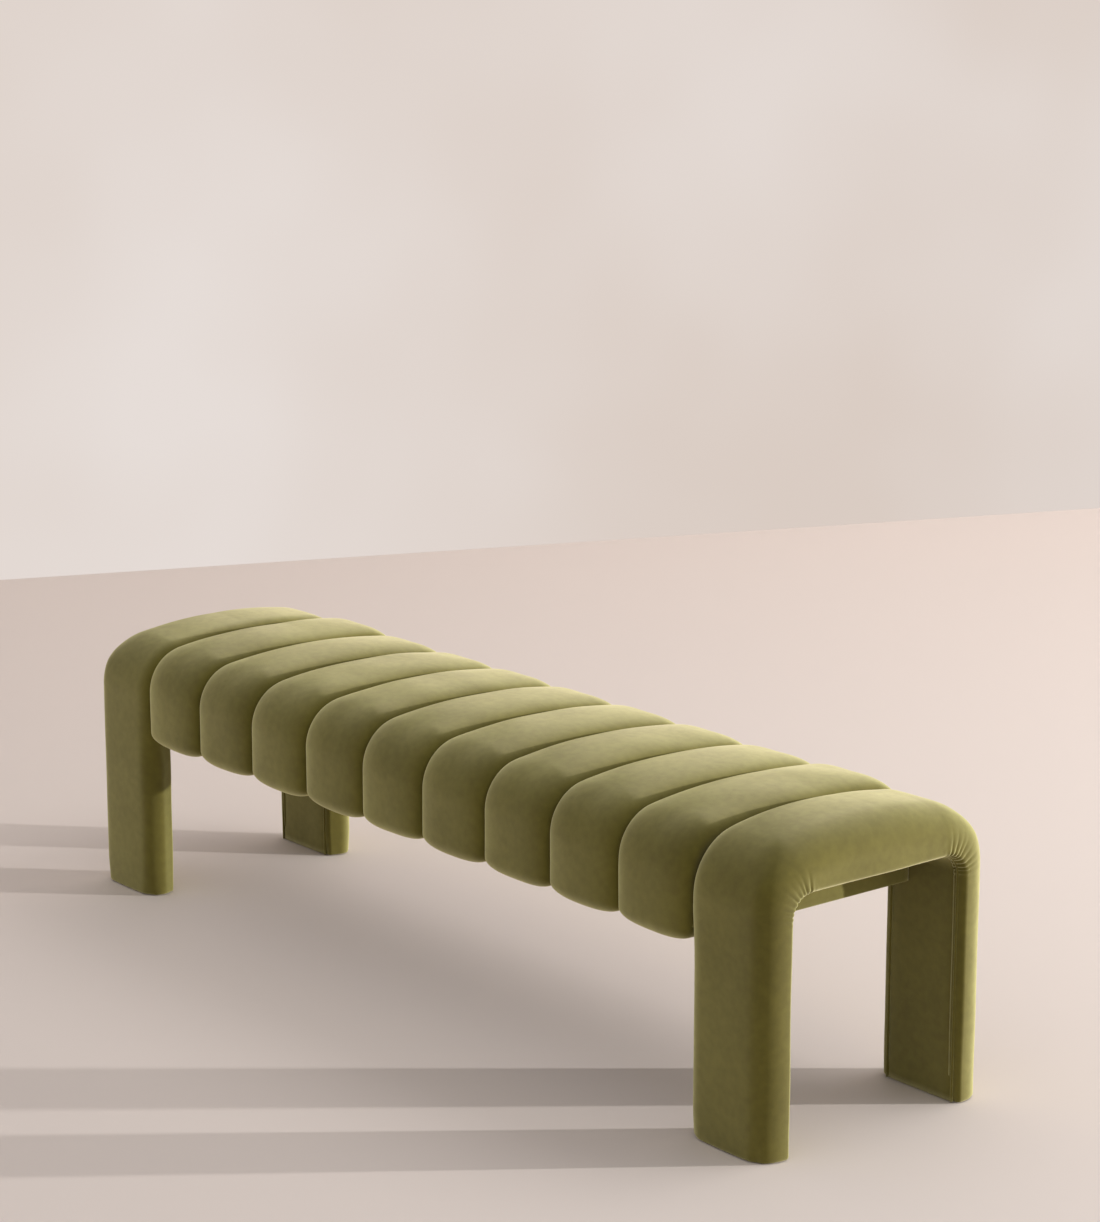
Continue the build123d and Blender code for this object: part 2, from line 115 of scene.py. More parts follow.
grain, grain_in, grain_out = effect_group(
    "wood_grain",
    [("Stretch", "NodeSocketVector"), ("Dark", "NodeSocketColor"), ("Light", "NodeSocketColor")],
    [("Color", "NodeSocketColor"), ("Height", "NodeSocketFloat")],
)
grain_place = grain.nodes.new("ShaderNodeTexCoord")
grain_scale = grain.nodes.new("ShaderNodeMapping")
grain.links.new(grain_place.outputs["Object"], grain_scale.inputs["Vector"])
grain.links.new(grain_in.outputs["Stretch"], grain_scale.inputs["Scale"])
rings = add_noise(grain, grain_scale.outputs["Vector"], 9.0, 5.0)
fibres = add_noise(grain, grain_scale.outputs["Vector"], 90.0, 3.0)
ring_tone = add_range(grain, rings, 0.32, 0.68)
fibre_tone = add_range(grain, fibres, 0.2, 0.8, 0.85, 1.0)
grain_tone = grain.nodes.new("ShaderNodeMath")
grain_tone.operation = "MULTIPLY"
grain.links.new(ring_tone, grain_tone.inputs[0])
grain.links.new(fibre_tone, grain_tone.inputs[1])
grain_colour = add_mix(
    grain, grain_tone.outputs["Value"], grain_in.outputs["Dark"], grain_in.outputs["Light"]
)
grain.links.new(grain_colour, grain_out.inputs["Color"])
grain.links.new(fibres, grain_out.inputs["Height"])

along_grain, cross_grain = 0.4, 6


def hardwood(name, stretch):
    # The same planed wood, with its grain stretched the way the piece runs
    tones = {"Dark": (0.36, 0.22, 0.11, 1), "Light": (0.62, 0.45, 0.27, 1), "Stretch": stretch}
    return new_material(name, grain, tones, 0.6, 0.3, 0.0004)


along = hardwood("hardwood_along", (along_grain, cross_grain, cross_grain))
across = hardwood("hardwood_across", (cross_grain, along_grain, cross_grain))
upright = hardwood("hardwood_upright", (cross_grain, cross_grain, along_grain))
ends = {"left": -1, "right": 1}
dress(along, "front_bearer", "back_bearer")
dress(across, "cross_rail_1", "cross_rail_2", "cross_rail_3")
dress(upright, "glue_blocks")
for end in ends:
    dress(across, f"{end}_end_rail", f"{end}_top_rail")
    dress(upright, f"{end}_front_post", f"{end}_back_post", f"{end}_dowels")
    dress(along, f"{end}_corner_blocks")

# Deck and facing boards: sanded birch plywood, glued and stapled to the bearers. The foam of
# the rolls is glued to them.
birch = {"Dark": (0.60, 0.46, 0.29, 1), "Light": (0.76, 0.62, 0.43, 1), "Stretch": (0.8, 5, 5)}
plywood = new_material("birch_plywood", grain, birch, 0.7, 0.2, 0.0003)
dress(plywood, "seat_deck", "front_facing_board", "back_facing_board")

# Frame bolts: zinc-plated bolts, washers and threaded inserts that clamp the seat box between
# the posts of each arch.
speckle, speckle_in, speckle_out = effect_group(
    "fine_speckle",
    [("Scale", "NodeSocketFloat"), ("Dark", "NodeSocketColor"), ("Light", "NodeSocketColor")],
    [("Color", "NodeSocketColor"), ("Height", "NodeSocketFloat")],
)
speckle_place = speckle.nodes.new("ShaderNodeTexCoord")
specks = add_noise(speckle, speckle_place.outputs["Object"], speckle_in.outputs["Scale"], 5.0)
speck_tone = add_range(speckle, specks, 0.3, 0.7)
speck_colour = add_mix(
    speckle, speck_tone, speckle_in.outputs["Dark"], speckle_in.outputs["Light"]
)
speckle.links.new(speck_colour, speckle_out.inputs["Color"])
speckle.links.new(specks, speckle_out.inputs["Height"])

zinc = new_material(
    "zinc_plate", speckle,
    {"Scale": 900, "Dark": (0.48, 0.49, 0.50, 1), "Light": (0.62, 0.63, 0.64, 1)},
    0.32, 0.15, 0.0002,
)
zinc.node_tree.nodes["Principled BSDF"].inputs["Metallic"].default_value = 1
dress(zinc, "frame_bolts", "bolt_washers", "threaded_inserts")

# Leg caps: squares of dark fibreboard that close each leg from below. Two black plastic glides
# are nailed through each into the posts.
fibreboard = new_material(
    "dark_fibreboard", speckle,
    {"Scale": 260, "Dark": (0.10, 0.065, 0.04, 1), "Light": (0.2, 0.13, 0.08, 1)},
    0.8, 0.25, 0.0003,
)
dress(fibreboard, "left_leg_caps", "right_leg_caps")
glide_plastic = new_material(
    "glide_plastic", speckle,
    {"Scale": 700, "Dark": (0.012, 0.012, 0.012, 1), "Light": (0.03, 0.03, 0.03, 1)},
    0.45, 0.1, 0.0002,
)
dress(glide_plastic, "glides")

# Roll foam: nine U-shaped blocks of soft foam, cut from sheet and glued over the deck and the
# facing boards, one under each velvet roll.
roll_count = 9
roll_half_depth = 0.208
roll_height = 0.4275
roll_corner_radius = 0.075
roll_crown_radius = 1.0011
foam_depth = 0.0217
foam_step = 0.012
foam_shoulder = 0.01
foam_side_gap = 0.0045


def arc(centre, radius, start, sweep, step):
    # Points and outward normals along an arc, angles in degrees
    count = max(2, round(radius * abs(math.radians(sweep)) / step))
    turns = np.radians(start + sweep * np.arange(count + 1) / count)
    out = np.stack([np.cos(turns), np.sin(turns)], 1)
    return np.array(centre) + radius * out, out


def straight(start, end, out, step):
    count = max(1, round(math.dist(start, end) / step))
    share = (np.arange(count + 1) / count)[:, None]
    points = np.array(start) * (1 - share) + np.array(end) * share
    return points, np.repeat([out], count + 1, axis=0).astype(float)


def join(*stretches):
    # One line through several stretches, each meeting point kept once
    points = [stretches[0][0]] + [stretch[0][1:] for stretch in stretches[1:]]
    outs = [stretches[0][1]] + [stretch[1][1:] for stretch in stretches[1:]]
    return np.concatenate(points), np.concatenate(outs)


def crown_layout(half_depth, height, corner_radius, crown_radius):
    # Centres of the corner and of the crown, and how far round the crown the corner ends
    corner = half_depth - corner_radius
    crown_low = height - crown_radius
    corner_height = crown_low + math.sqrt((crown_radius - corner_radius) ** 2 - corner**2)
    lean = math.degrees(math.asin(corner / (crown_radius - corner_radius)))
    return corner, crown_low, corner_height, lean


def crest(half_depth, height, corner_radius, crown_radius, foot, step):
    # Up the front, over the crowned top and down the back, seen from the end
    corner, crown_low, corner_height, lean = crown_layout(
        half_depth, height, corner_radius, crown_radius)
    return join(
        straight((-half_depth, foot), (-half_depth, corner_height), (-1, 0), step),
        arc((-corner, corner_height), corner_radius, 180, lean - 90, step),
        arc((0, crown_low), crown_radius, 90 + lean, -2 * lean, step),
        arc((corner, corner_height), corner_radius, 90 - lean, lean - 90, step),
        straight((half_depth, corner_height), (half_depth, foot), (1, 0), step),
    )


def new_piece(name, verts, polys, material, smooth=True):
    mesh = bpy.data.meshes.new(name)
    mesh.from_pydata([tuple(vert) for vert in verts], [], polys)
    mesh.update()
    mesh.polygons.foreach_set("use_smooth", [smooth] * len(mesh.polygons))
    mesh.materials.append(material)
    piece = bpy.data.objects.new(name, mesh)
    bpy.context.scene.collection.objects.link(piece)
    return piece


def swept_block(name, rings, material, smooth=True):
    # A closed block through rings of points, with both ends capped
    count, around = rings.shape[:2]
    polys = [
        (i * around + j, i * around + (j + 1) % around,
         (i + 1) * around + (j + 1) % around, (i + 1) * around + j)
        for i in range(count - 1) for j in range(around)
    ]
    polys.append(tuple(reversed(range(around))))
    polys.append(tuple((count - 1) * around + j for j in range(around)))
    return new_piece(name, rings.reshape(-1, 3), polys, material, smooth)


def settle(piece, slot, *nodes):
    for node in nodes:
        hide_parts(node)
    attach(piece, "root")


foam = new_material(
    "seat_foam", speckle,
    {"Scale": 700, "Dark": (0.72, 0.64, 0.42, 1), "Light": (0.88, 0.82, 0.62, 1)},
    0.95, 0.6, 0.0008,
)
deck_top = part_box("seat_deck")[1].z
board_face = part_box("back_facing_board")[1].y
for number in range(1, roll_count + 1):
    low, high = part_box(f"roll_foam_{number}")
    line, line_out = crest(
        high.y, high.z, roll_corner_radius - foam_depth, roll_crown_radius - foam_depth,
        low.z, foam_step,
    )
    left, right = low.x + foam_side_gap, high.x - foam_side_gap
    inner_y = np.clip(line[:, 0], -board_face, board_face)
    inner_z = np.minimum(line[:, 1], deck_top)
    blocks = np.array([
        [
            (left, *(point - out * foam_shoulder)), (left + foam_shoulder, *point),
            (right - foam_shoulder, *point), (right, *(point - out * foam_shoulder)),
            (right, iy, iz), (left, iy, iz),
        ]
        for point, out, iy, iz in zip(line, line_out, inner_y, inner_z)
    ])
    piece = swept_block(f"foam_roll_{number}", blocks, foam, smooth=False)
    settle(piece, "foam", f"roll_foam_{number}")

# Roll covers: moss-green velvet over a thin layer of wadding, sewn as nine separate tubes. Each
# is pulled down tight over its foam, turned under and stapled beneath the bearers.
roll_bottom = 0.257
roll_foot_radius = 0.0205
roll_inner_face = 0.148
roll_bulge = 0.0174
roll_bulge_power = 2.6
lip_top = 0.293
lip_end = 0.125
roll_gap = 0.0002
velvet_thickness = 0.004
velvet_step = 0.0085
roll_columns = 20
flank_depths = (0.006, 0.018, 0.034)
lip_flank_drop = -0.12
foot_flank_share = 0.4
foot_flank_heights = (0.02, 0.07)
stuffing_share = 0.6
stuffing_frames = 20
evening_rounds = 12
roll_stuffing_reach = 0.004
roll_unevenness = 0.0012
back_rise = {1: 0.004, 9: 0.004}
back_rise_start = 0.04
back_rise_run = 0.12

pile, pile_in, pile_out = effect_group(
    "velvet_pile",
    [("Dark", "NodeSocketColor"), ("Light", "NodeSocketColor")],
    [("Color", "NodeSocketColor"), ("Height", "NodeSocketFloat"), ("Nap Sheen", "NodeSocketFloat")],
)
pile_place = pile.nodes.new("ShaderNodeTexCoord")
brushed = add_noise(pile, pile_place.outputs["Object"], 7.0, 3.0)
mottled = add_noise(pile, pile_place.outputs["Object"], 85.0, 4.0)
tufts = add_noise(pile, pile_place.outputs["Object"], 1500.0, 2.0)
brushed_tone = add_range(pile, brushed, 0.3, 0.7, 0.0, 0.45)
mottled_tone = add_range(pile, mottled, 0.3, 0.7, 0.0, 0.35)
tuft_tone = add_range(pile, tufts, 0.3, 0.7, 0.0, 0.2)
first_sum = pile.nodes.new("ShaderNodeMath")
pile.links.new(brushed_tone, first_sum.inputs[0])
pile.links.new(mottled_tone, first_sum.inputs[1])
second_sum = pile.nodes.new("ShaderNodeMath")
pile.links.new(first_sum.outputs["Value"], second_sum.inputs[0])
pile.links.new(tuft_tone, second_sum.inputs[1])
pile_colour = add_mix(
    pile, second_sum.outputs["Value"], pile_in.outputs["Dark"], pile_in.outputs["Light"]
)
pile.links.new(pile_colour, pile_out.inputs["Color"])
pile.links.new(tufts, pile_out.inputs["Height"])
# Patchy strength for the painted sheen on the velvet, taken from the same pile noise.
nap_sheen_tone = add_range(pile, second_sum.outputs["Value"], 0.25, 0.75, 0.80, 1.18)
pile.links.new(nap_sheen_tone, pile_out.inputs["Nap Sheen"])

velvet = new_material(
    "moss_velvet", pile,
    {"Dark": (0.090, 0.076, 0.010, 1), "Light": (0.152, 0.130, 0.020, 1)},
    0.85, 0.25, 0.0004,
)
velvet_tree = velvet.node_tree
velvet_shader = velvet_tree.nodes["Principled BSDF"]
# Painted sheen: the base colour is lightened towards a pale olive where the velvet is seen at a
# grazing angle, and stays dark where it faces the view.
sheen_facing = velvet_tree.nodes.new("ShaderNodeLayerWeight")
sheen_facing.inputs["Blend"].default_value = 0.5
sheen_rise = velvet_tree.nodes.new("ShaderNodeMath")
sheen_rise.operation = "POWER"
sheen_rise.inputs[1].default_value = 2.45
velvet_tree.links.new(sheen_facing.outputs["Facing"], sheen_rise.inputs[0])
painted_sheen_mix = velvet_tree.nodes.new("ShaderNodeMix")
painted_sheen_mix.data_type = "RGBA"
painted_sheen_mix.inputs["B"].default_value = (0.60, 0.60, 0.21, 1)
painted_sheen_share = velvet_tree.nodes.new("ShaderNodeMath")
painted_sheen_share.operation = "MULTIPLY"
velvet_pile = next(node for node in velvet_tree.nodes if node.type == "GROUP")
velvet_tree.links.new(sheen_rise.outputs["Value"], painted_sheen_share.inputs[0])
velvet_tree.links.new(velvet_pile.outputs["Nap Sheen"], painted_sheen_share.inputs[1])
velvet_tree.links.new(painted_sheen_share.outputs["Value"], painted_sheen_mix.inputs["Factor"])
velvet_tree.links.new(
    velvet_shader.inputs["Base Color"].links[0].from_socket, painted_sheen_mix.inputs["A"]
)
velvet_tree.links.new(painted_sheen_mix.outputs["Result"], velvet_shader.inputs["Base Color"])
velvet_shader.inputs["Specular IOR Level"].default_value = 0.15
velvet_shader.inputs["Sheen Weight"].default_value = 0.6
velvet_shader.inputs["Sheen Roughness"].default_value = 0.5
velvet_shader.inputs["Sheen Tint"].default_value = (0.8, 0.68, 0.54, 1)


def crowned(half_width, bulge, power, count):
    # Places across a padded piece and how far each draws in, evenly spaced along the surface
    share = np.sin(np.linspace(-math.pi / 2, math.pi / 2, 2001))
    drop = bulge * (1 - (1 - abs(share) ** power) ** (1 / power))
    steps = np.hypot(np.diff(share * half_width), np.diff(drop))
    run = np.concatenate([[0], np.cumsum(steps)])
    even = np.linspace(0, run[-1], count + 1)
    return np.interp(even, run, share * half_width), np.interp(even, run, drop)


def skin(name, grid, material):
    # An open sheet of velvet through rows of points
    rows, columns = grid.shape[:2]
    polys = [
        (i * columns + j, i * columns + j + 1, (i + 1) * columns + j + 1, (i + 1) * columns + j)
        for i in range(rows - 1) for j in range(columns - 1)
    ]
    return new_piece(name, grid.reshape(-1, 3), polys, material)


def coordinates(mesh):
    found = np.empty(len(mesh.vertices) * 3)
    mesh.vertices.foreach_get("co", found)
    return found.reshape(-1, 3)


def normals(mesh):
    found = np.empty(len(mesh.vertices) * 3)
    mesh.vertex_normals.foreach_get("vector", found)
    return found.reshape(-1, 3)


def place_verts(piece, points):
    piece.data.vertices.foreach_set("co", points.reshape(-1))
    piece.data.update()


def stuff(piece, held, reach, rows):
    # Cloth under pressure, held along its seams, then set so that the mean swell is nil
    start = coordinates(piece.data)
    out = normals(piece.data)
    group = piece.vertex_groups.new(name="held")
    group.add([int(index) for index in held], 1, "REPLACE")
    cloth = piece.modifiers.new("stuffing", "CLOTH")
    cloth.settings.vertex_group_mass = "held"
    cloth.settings.quality = 5
    cloth.settings.tension_stiffness = 25
    cloth.settings.compression_stiffness = 25
    cloth.settings.bending_stiffness = 0.4
    cloth.settings.use_pressure = True
    cloth.settings.uniform_pressure_force = 4
    cloth.settings.effector_weights.gravity = 0
    cloth.collision_settings.use_collision = False
    cloth.point_cache.frame_start = 1
    cloth.point_cache.frame_end = stuffing_frames
    for moment in range(1, stuffing_frames + 1):
        bpy.context.scene.frame_set(moment)
    settled = piece.evaluated_get(bpy.context.evaluated_depsgraph_get()).to_mesh()
    moved = coordinates(settled) - start
    piece.modifiers.remove(cloth)
    piece.vertex_groups.remove(group)
    bpy.context.scene.frame_set(1)
    length = np.linalg.norm(moved, axis=1, keepdims=True)
    moved *= stuffing_share * np.minimum(1, reach / np.maximum(length, 1e-9))
    free = np.ones(len(start), bool)
    free[held] = False
    # Evened out along and across, as wadding under the velvet does
    field = moved.reshape(rows, -1, 3)
    for _ in range(evening_rounds):
        field[1:-1] = (field[:-2] + 2 * field[1:-1] + field[2:]) / 4
        field[:, 1:-1] = (field[:, :-2] + 6 * field[:, 1:-1] + field[:, 2:]) / 8
    moved = field.reshape(-1, 3)
    moved[held] = 0
    swell = (moved * out).sum(1)
    moved[free] -= out[free] * swell[free].mean()
    place_verts(piece, start + moved)


def apply_all(piece):
    fitted = bpy.data.meshes.new_from_object(
        piece.evaluated_get(bpy.context.evaluated_depsgraph_get())
    )
    piece.modifiers.clear()
    piece.data = fitted


def smoothed(piece):
    rounding = piece.modifiers.new("rounding", "SUBSURF")
    rounding.levels = 1
    rounding.render_levels = 1
    apply_all(piece)


def thickened(piece, thickness):
    backing = piece.modifiers.new("backing", "SOLIDIFY")
    backing.thickness = thickness
    backing.offset = -1
    apply_all(piece)


def unevenness(points, seed, size):
    # Slow, slight ups and downs of a hand-filled cushion
    draw = np.random.default_rng(seed)
    total = np.zeros(len(points))
    for _ in range(6):
        way = draw.normal(size=3)
        way /= np.linalg.norm(way)
        wave = draw.uniform(35, 75)
        total += np.sin(points @ way * wave + draw.uniform(0, 2 * math.pi))
    return size * total / 6


under_lip = straight((-lip_end, lip_top), (-roll_inner_face, lip_top), (0, 0), velvet_step)
inner_side = straight(
    (-roll_inner_face, lip_top), (-roll_inner_face, roll_bottom), (0, 0), velvet_step
)
inner_side[1][:, 1] = -np.linspace(0, 1, len(inner_side[1]))
heel = roll_half_depth - roll_foot_radius
foot_height = roll_bottom + roll_foot_radius
roll_line, roll_out = join(
    under_lip,
    inner_side,
    straight((-roll_inner_face, roll_bottom), (-heel, roll_bottom), (0, -1), velvet_step),
    arc((-heel, foot_height), roll_foot_radius, 270, -90, velvet_step / 2),
    crest(
        roll_half_depth, roll_height, roll_corner_radius, roll_crown_radius, foot_height,
        velvet_step,
    ),
    arc((heel, foot_height), roll_foot_radius, 0, -90, velvet_step / 2),
    straight((heel, roll_bottom), (roll_inner_face, roll_bottom), (0, -1), velvet_step),
    (inner_side[0][::-1] * (-1, 1), inner_side[1][::-1]),
    (under_lip[0][::-1] * (-1, 1), under_lip[1]),
)
held_rows = len(under_lip[0])
flank_way = roll_out.copy()
flank_way[:held_rows] = flank_way[-held_rows:] = (0, lip_flank_drop)
flank_way *= np.interp(
    roll_line[:, 1], [roll_bottom + height for height in foot_flank_heights],
    (foot_flank_share, 1),
)[:, None]
for number in range(1, roll_count + 1):
    low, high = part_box(f"roll_cover_{number}")
    middle = (low.x + high.x) / 2
    half_width = (high.x - low.x) / 2 - roll_gap
    x, drop = crowned(half_width, roll_bulge, roll_bulge_power, roll_columns)
    deep = np.array(flank_depths)
    grid = np.empty((len(roll_line), len(x), 3))
    grid[:, :, 0] = middle + x
    grid[:, :, 1:] = roll_line[:, None] - roll_out[:, None] * drop[None, :, None]
    flank = grid[:, -1:, 1:] - flank_way[:, None] * deep[None, :, None]
    flank_x = np.full(flank.shape[:2] + (1,), half_width)
    right_flank = np.concatenate([middle + flank_x, flank], axis=2)
    left_flank = np.concatenate([middle - flank_x, flank], axis=2)[:, ::-1]
    grid = np.concatenate([left_flank, grid, right_flank], axis=1)
    piece = skin(f"velvet_roll_{number}", grid, velvet)
    index = np.arange(grid.shape[0] * grid.shape[1]).reshape(grid.shape[:2])
    held = np.concatenate([
        index[:, :len(deep) + 1].ravel(), index[:, -len(deep) - 1:].ravel(),
        index[:held_rows].ravel(), index[-held_rows:].ravel(),
    ])
    stuff(piece, np.unique(held), roll_stuffing_reach, grid.shape[0])
    smoothed(piece)
    points = coordinates(piece.data)
    edge = 1 - np.clip(abs(points[:, 0] - middle) / half_width, 0, 1) ** 6
    behind = np.clip((points[:, 1] - back_rise_start) / back_rise_run, 0, 1)
    points[:, 2] += back_rise.get(number, 0) * behind
    swing = unevenness(points, number, roll_unevenness) * edge
    place_verts(piece, points + normals(piece.data) * swing[:, None])
    thickened(piece, velvet_thickness)
    settle(piece, "velvet", f"roll_cover_{number}")

# Dust cover: thin black cloth stapled under the bearers over the turned-in velvet. It hangs a
# little slack between the cross rails.
dust_gap = 0.0002
dust_thickness = 0.0006
dust_sag = 0.0025
dust_bays = 4
dust_points = (81, 25)
low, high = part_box("dust_cover")
x = np.linspace(low.x, high.x, dust_points[0])
y = np.linspace(low.y, high.y, dust_points[1])
slack = np.abs(np.sin((x - low.x) / (high.x - low.x) * math.pi * dust_bays)) ** 0.7
hollow = 1 - (y / high.y) ** 4
grid = np.empty((len(x), len(y), 3))
grid[:, :, 0] = x[:, None]
grid[:, :, 1] = y[None, :]
grid[:, :, 2] = high.z - dust_gap - dust_sag * slack[:, None] * hollow[None, :]
dust_cloth = new_material(
    "black_dust_cloth", speckle,
    {"Scale": 1400, "Dark": (0.012, 0.012, 0.013, 1), "Light": (0.035, 0.035, 0.037, 1)},
    0.9, 0.3, 0.0003,
)
piece = skin("dust_cloth", grid, dust_cloth)
thickened(piece, dust_thickness)
settle(piece, "dust_cloth", "dust_cover")

# End panels: thin boards in the same velvet that close the ends of the seat box, seen through
# the arches. Their upper corners follow the arch opening.
opening_height = 0.35
opening_half = 0.151
opening_corner_radius = 0.03
panel_edge = 0.0012
panel_flat_step = 0.006
panel_bend_step = 0.003
panel_rounding = ((0.4, 0.0), (0.75, 0.0), (0.93, 0.0), (0.985, 0.25), (1.0, 1.0))
for end, way in ends.items():
    low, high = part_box(f"{end}_end_panel")
    inset = opening_half - high.y
    radius = opening_corner_radius - inset
    top = opening_height - inset
    outline, _ = join(
        straight((0, low.z), (-high.y, low.z), (0, 0), panel_flat_step),
        straight((-high.y, low.z), (-high.y, top - radius), (0, 0), panel_flat_step),
        arc((radius - high.y, top - radius), radius, 180, -90, panel_bend_step),
        straight((radius - high.y, top), (high.y - radius, top), (0, 0), panel_flat_step),
        arc((high.y - radius, top - radius), radius, 90, -90, panel_bend_step),
        straight((high.y, top - radius), (high.y, low.z), (0, 0), panel_flat_step),
        straight((high.y, low.z), (0, low.z), (0, 0), panel_flat_step),
    )
    outline = outline[:-1]
    middle = np.array([0, (low.z + top) / 2])
    face, back = (high.x, low.x) if way > 0 else (low.x, high.x)
    rings = []
    for share, depth in panel_rounding:
        drawn = middle + (outline - middle) * share
        rings.append(np.column_stack([
            np.full(len(drawn), face - way * panel_edge * depth), drawn,
        ]))
    rings.append(np.column_stack([np.full(len(outline), back), outline]))
    rings = np.array(rings)
    if way < 0:
        rings = rings[:, ::-1]
    piece = swept_block(f"velvet_end_panel_{end}", rings[::-1], velvet)
    settle(piece, "velvet", f"{end}_end_panel")

# Arch foam: soft foam glued round the outer faces of the posts and over the top rail. Its edges
# are cut off at a slant, which gives the legs their round shoulders.
arch_half_depth = 0.2035
arch_height = 0.43
arch_corner_radius = 0.088
arch_crown_radius = 0.65446
arch_foam_depth = 0.0105
arch_foam_clearance = (0.001, 0.0015)
rail_shoulder_drop = 0.034
rail_shoulder_run = 0.025
end_side_slants = ((0.86, 0.036), (0.86, 0.028), (0.6, 0.008), (0.3, 0.0))
seat_side_slants = ((-0.3, 0.0), (-0.62, 0.006), (-0.78, 0.016), (-0.78, 0.03))
arch_lie = {
    "left": ((-0.2, 0.001), (-0.11, -0.003), (0, -0.0045), (0.11, -0.001), (0.2, 0.003)),
    "right": ((-0.2, 0), (-0.1, -0.001), (0.04, -0.003), (0.12, -0.001), (0.2, 0.004)),
}
lie_low = 0.31
lie_run = 0.08


def crown_lie(end, y, z):
    # How far the filling has settled or risen along the crown of each arch
    lie = np.array(arch_lie[end])
    return np.interp(y, lie[:, 0], lie[:, 1]) * np.clip((z - lie_low) / lie_run, 0, 1)


for end, way in ends.items():
    low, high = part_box(f"{end}_arch_foam")
    rail_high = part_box(f"{end}_top_rail")[1]
    post_back = rail_high.y
    rail_shoulder = rail_high.z - rail_shoulder_drop
    rail_crest = post_back - rail_shoulder_run
    line, line_out = crest(
        high.y - arch_foam_clearance[0], high.z - arch_foam_clearance[1],
        arch_corner_radius - arch_foam_depth, arch_crown_radius - arch_foam_depth, low.z,
        foam_step,
    )
    line[:, 1] += np.minimum(crown_lie(end, line[:, 0], line[:, 1]), 0)
    middle = (low.x + high.x) / 2
    half = (high.x - low.x) / 2
    blocks = []
    for (y, z), out in zip(line, line_out):
        inner_y = min(abs(y), post_back)
        if z < rail_shoulder and abs(y) > rail_crest:
            inner = (math.copysign(post_back, y), z)
        elif abs(y) <= rail_crest:
            inner = (y, rail_high.z)
        else:
            share = min(max((post_back - inner_y) / (post_back - rail_crest), 0), 1)
            inner = (math.copysign(inner_y, y), rail_shoulder + share * rail_shoulder_drop)
        deepest = np.hypot(y - inner[0], z - inner[1]) * 0.9
        ring = [
            (middle + way * share * half, *(np.array((y, z)) - out * min(drop, deepest)))
            for share, drop in end_side_slants + seat_side_slants
        ]
        for share, _ in (seat_side_slants[-1], end_side_slants[0]):
            ring.append((middle + way * share * half, *inner))
        blocks.append(ring)
    piece = swept_block(f"foam_arch_{end}", np.array(blocks), foam, smooth=False)
    settle(piece, "foam", f"{end}_arch_foam")

# Arch covers: one velvet cover over each padded arch, drawn round the legs and into the
# opening, where it is gathered in short pleats round the two inner corners.
foot_level = 0.0012
arch_half_width = 0.0765
seat_side_inset = 0.0015
seat_seam_inset = 0.008
face_dome = 0.003
leg_corner = (0.029, 0.036)
leg_seat_corner = (0.024, 0.025)
top_corner = (0.056, 0.042)
top_seat_corner = (0.024, 0.013)
beside_roll_low, beside_roll_run = 0.22, 0.09
top_low, top_run = 0.365, 0.055
end_seam = (0.018, 0.008)
seat_seam = (0.013, 0.007)
arch_columns = 24
flank_columns = 3
edge_columns = 5
leg_round = 0.005
corner_tuck = 0.006
corner_tuck_height = 0.045
corner_rows = 24
leg_rows = 38
top_rows = 30
arch_stuffing_reach = 0.005
arch_unevenness = 0.001
arch_seed = 40
pleat_count = 11
pleat_depth = 0.0022
pleat_reach = 0.02
pleat_start = -12
pleat_sweep = 114
pleat_fade = 15
pleat_seed = 60


def spread(points, outs, count):
    # The same line in a set number of even steps
    run = np.concatenate([[0], np.cumsum(np.linalg.norm(np.diff(points, axis=0), axis=1))])
    even = np.linspace(0, run[-1], count + 1)
    found = np.column_stack([np.interp(even, run, points[:, k]) for k in range(2)])
    out = np.column_stack([np.interp(even, run, outs[:, k]) for k in range(2)])
    return found, out / np.linalg.norm(out, axis=1, keepdims=True)


corner, crown_low, corner_height, lean = crown_layout(
    arch_half_depth, arch_height, arch_corner_radius, arch_crown_radius)
inner_corner = opening_half - opening_corner_radius
inner_start = opening_height - opening_corner_radius
leg_start = foot_level + leg_round
fine = 0.0005
outer_leg = spread(*straight(
    (-arch_half_depth, leg_start), (-arch_half_depth, inner_start), (-1, 0), fine), leg_rows)
outer_bend = spread(*join(
    straight((-arch_half_depth, inner_start), (-arch_half_depth, corner_height), (-1, 0), fine),
    arc((-corner, corner_height), arch_corner_radius, 180, lean - 90, fine)), corner_rows)
outer_top = spread(*arc(
    (0, crown_low), arch_crown_radius, 90 + lean, -2 * lean, fine), top_rows)
inner_leg = spread(*straight(
    (-opening_half, leg_start), (-opening_half, inner_start), (1, 0), fine), leg_rows)
inner_bend = spread(*arc(
    (-inner_corner, inner_start), opening_corner_radius, 180, -90, fine), corner_rows)
inner_bend = (inner_bend[0], -inner_bend[1])
inner_top = spread(*straight(
    (-inner_corner, opening_height), (inner_corner, opening_height), (0, -1), fine), top_rows)


def other_side(stretch):
    return stretch[0][::-1] * (-1, 1), stretch[1][::-1] * (-1, 1)


outer_line, outer_out = join(
    outer_leg, outer_bend, outer_top, other_side(outer_bend), other_side(outer_leg)
)
inner_line, inner_out = join(
    inner_leg, inner_bend, inner_top, other_side(inner_bend), other_side(inner_leg)
)


